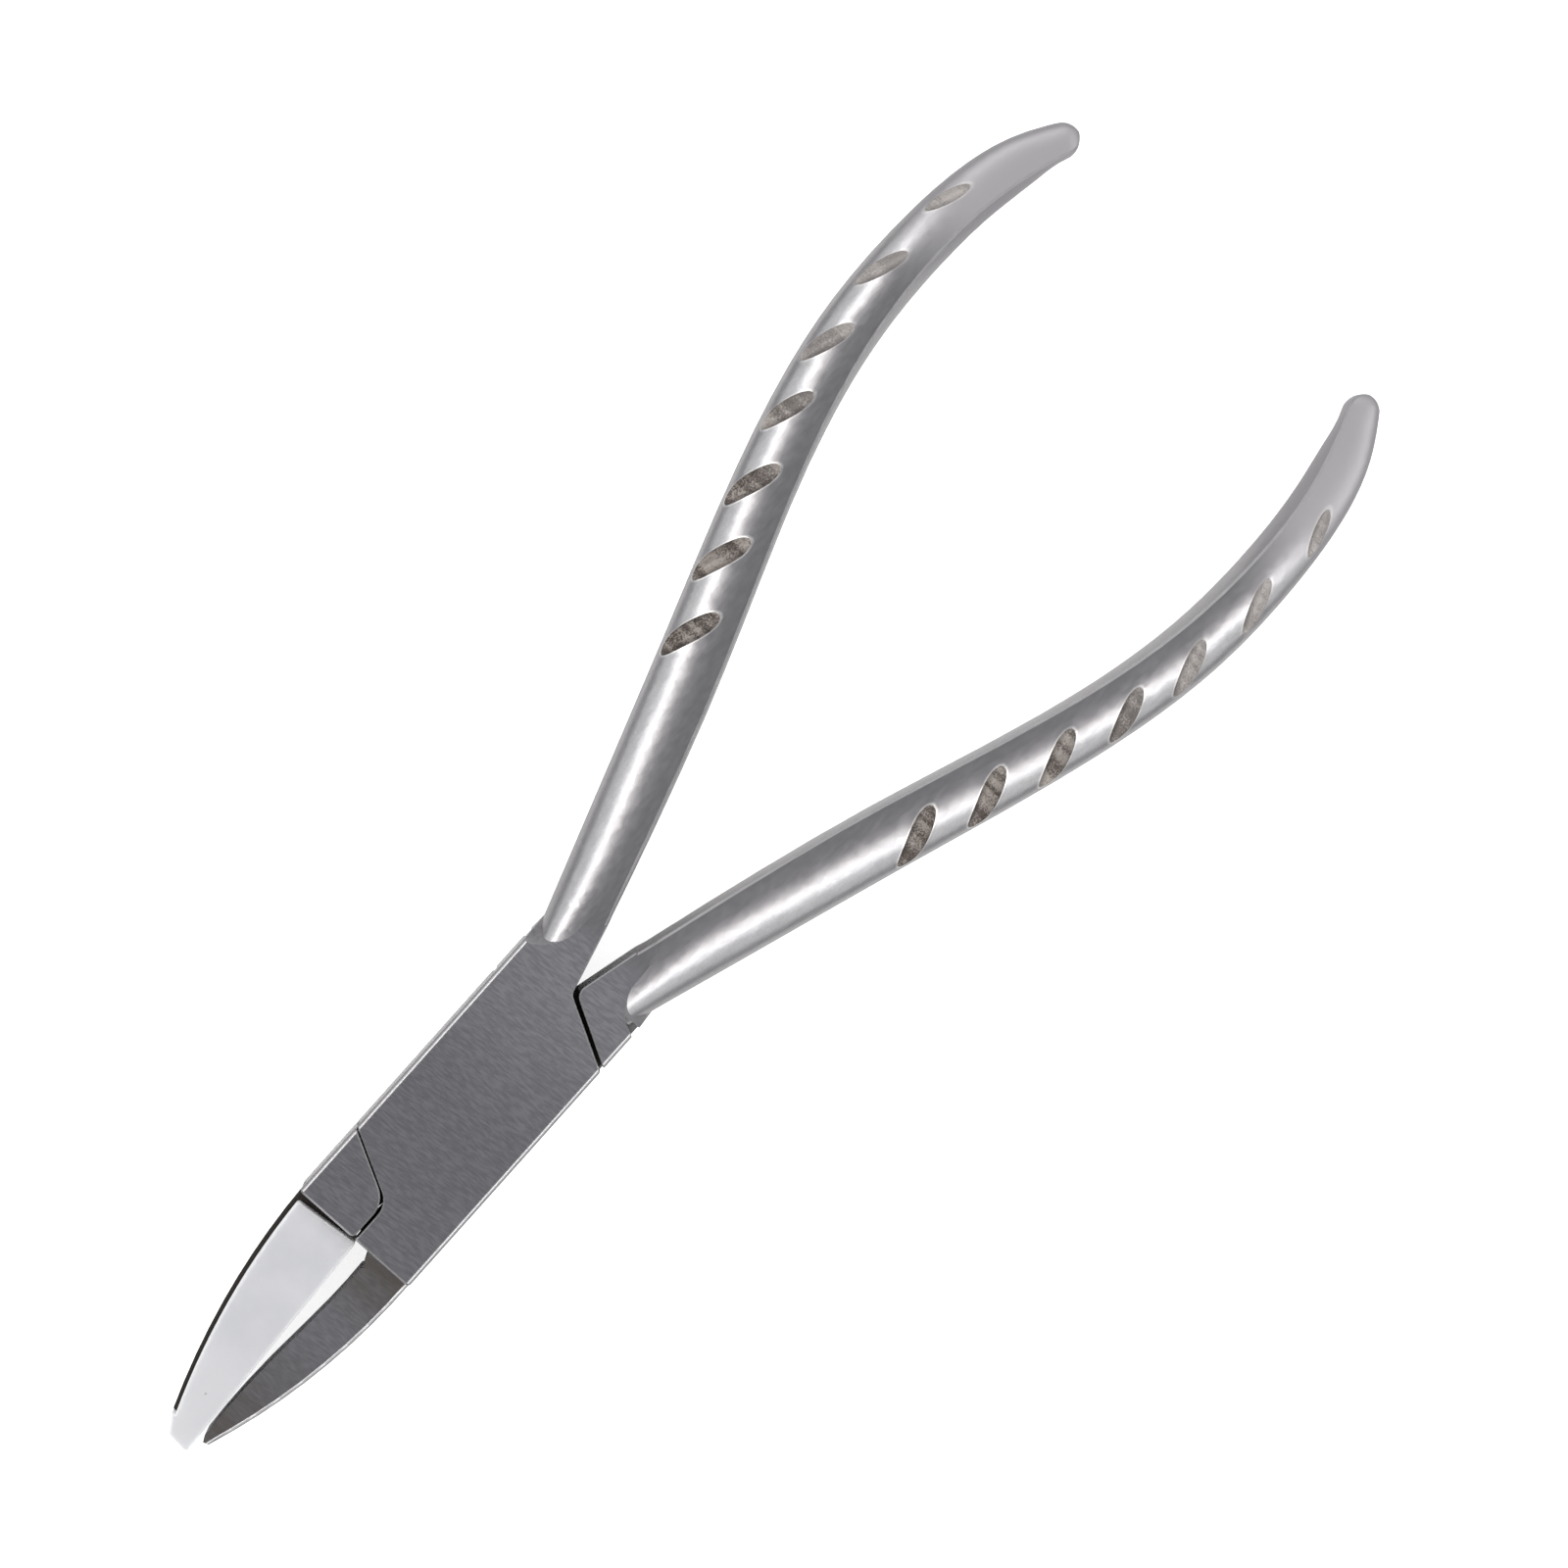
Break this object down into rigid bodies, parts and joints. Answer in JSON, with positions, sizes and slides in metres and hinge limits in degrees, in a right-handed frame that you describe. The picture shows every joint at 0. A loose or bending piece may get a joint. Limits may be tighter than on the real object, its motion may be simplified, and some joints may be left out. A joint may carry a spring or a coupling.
{
  "type": "nylon jaw pliers",
  "caption": "Slim stainless hand pliers with a lap joint, a plain steel jaw, a white nylon pad on the other jaw and grooved bow handles.",
  "frame": {"origin": "on the pivot axis, in the underside of the joint", "axes": "+X along the tool to the jaw tips, +Z along the pivot axis away from the surface it lies on, +Y towards the steel jaw"},
  "size_m": [0.1381, 0.0474, 0.008],
  "materials": {
    "steel": "ground joint and jaw faces, satin-polished handles",
    "rivet_steel": "ground flush with the joint",
    "nylon": "translucent white nylon, machined",
    "screw_steel": "bright, slotted countersunk heads"
  },
  "bodies": {
    "pad_half": {"pad_jaw_half": "steel", "nylon_pad": "nylon", "pad_screw_rear": "screw_steel", "pad_screw_front": "screw_steel"},
    "steel_half": {"steel_jaw_half": "steel", "pivot_rivet": "rivet_steel"}
  },
  "joints": [
    {"name": "pivot", "type": "hinge", "parent": "pad_half", "child": "steel_half", "pos_m": [0, 0, 0.004], "axis": [0, 0, 1], "range_deg": [-0.4, 30]}
  ]
}
